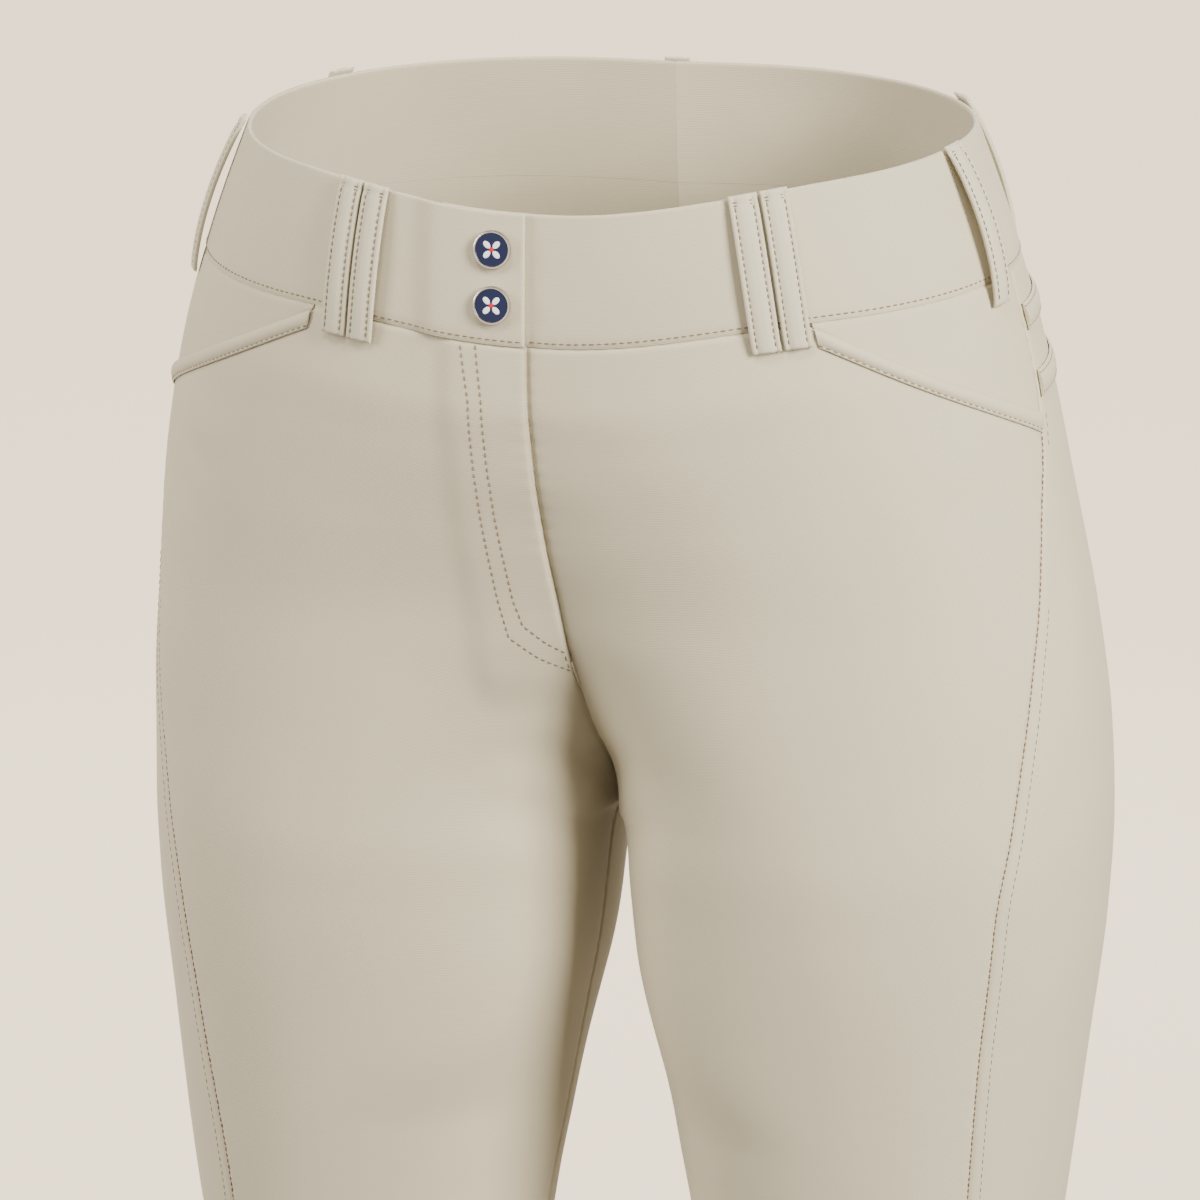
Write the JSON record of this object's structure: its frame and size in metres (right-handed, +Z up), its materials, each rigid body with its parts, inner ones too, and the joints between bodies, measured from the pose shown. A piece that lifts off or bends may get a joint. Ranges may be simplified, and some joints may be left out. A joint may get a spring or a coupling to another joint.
{
  "type": "riding breeches",
  "caption": "Close-fitting beige riding breeches, as worn: hollow, open at waist and ankles, with slant pockets, belt loops and a snap closing.",
  "frame": {"origin": "middle of the waist opening, level with the top of the waistband at the sides", "axes": "+X to the wearer's left, -Y to the front, +Z up"},
  "size_m": [0.3937, 0.238, 0.943],
  "materials": {
    "breeches_cloth": "matt stretch twill",
    "snap_metal": "polished rim with a dark blue enamel face"
  },
  "bodies": {
    "root": {"waistband_left": "breeches_cloth", "waistband_right": "breeches_cloth", "front_left": "breeches_cloth", "front_right": "breeches_cloth", "back_left": "breeches_cloth", "back_right": "breeches_cloth", "pocket_facing_left": "breeches_cloth", "pocket_facing_right": "breeches_cloth", "pocket_welt_left": "breeches_cloth", "pocket_welt_right": "breeches_cloth", "yoke_strip_left": "breeches_cloth", "yoke_strip_right": "breeches_cloth", "back_welt_left": "breeches_cloth", "back_welt_right": "breeches_cloth", "fly_shield": "breeches_cloth", "belt_loop_front_left_inner": "breeches_cloth", "belt_loop_front_left_outer": "breeches_cloth", "belt_loop_front_right_inner": "breeches_cloth", "belt_loop_front_right_outer": "breeches_cloth", "belt_loop_side_left": "breeches_cloth", "belt_loop_side_right": "breeches_cloth", "belt_loop_back_left": "breeches_cloth", "belt_loop_back_right": "breeches_cloth", "belt_loop_back_centre": "breeches_cloth", "snap_upper": "snap_metal", "snap_lower": "snap_metal"}
  },
  "joints": []
}
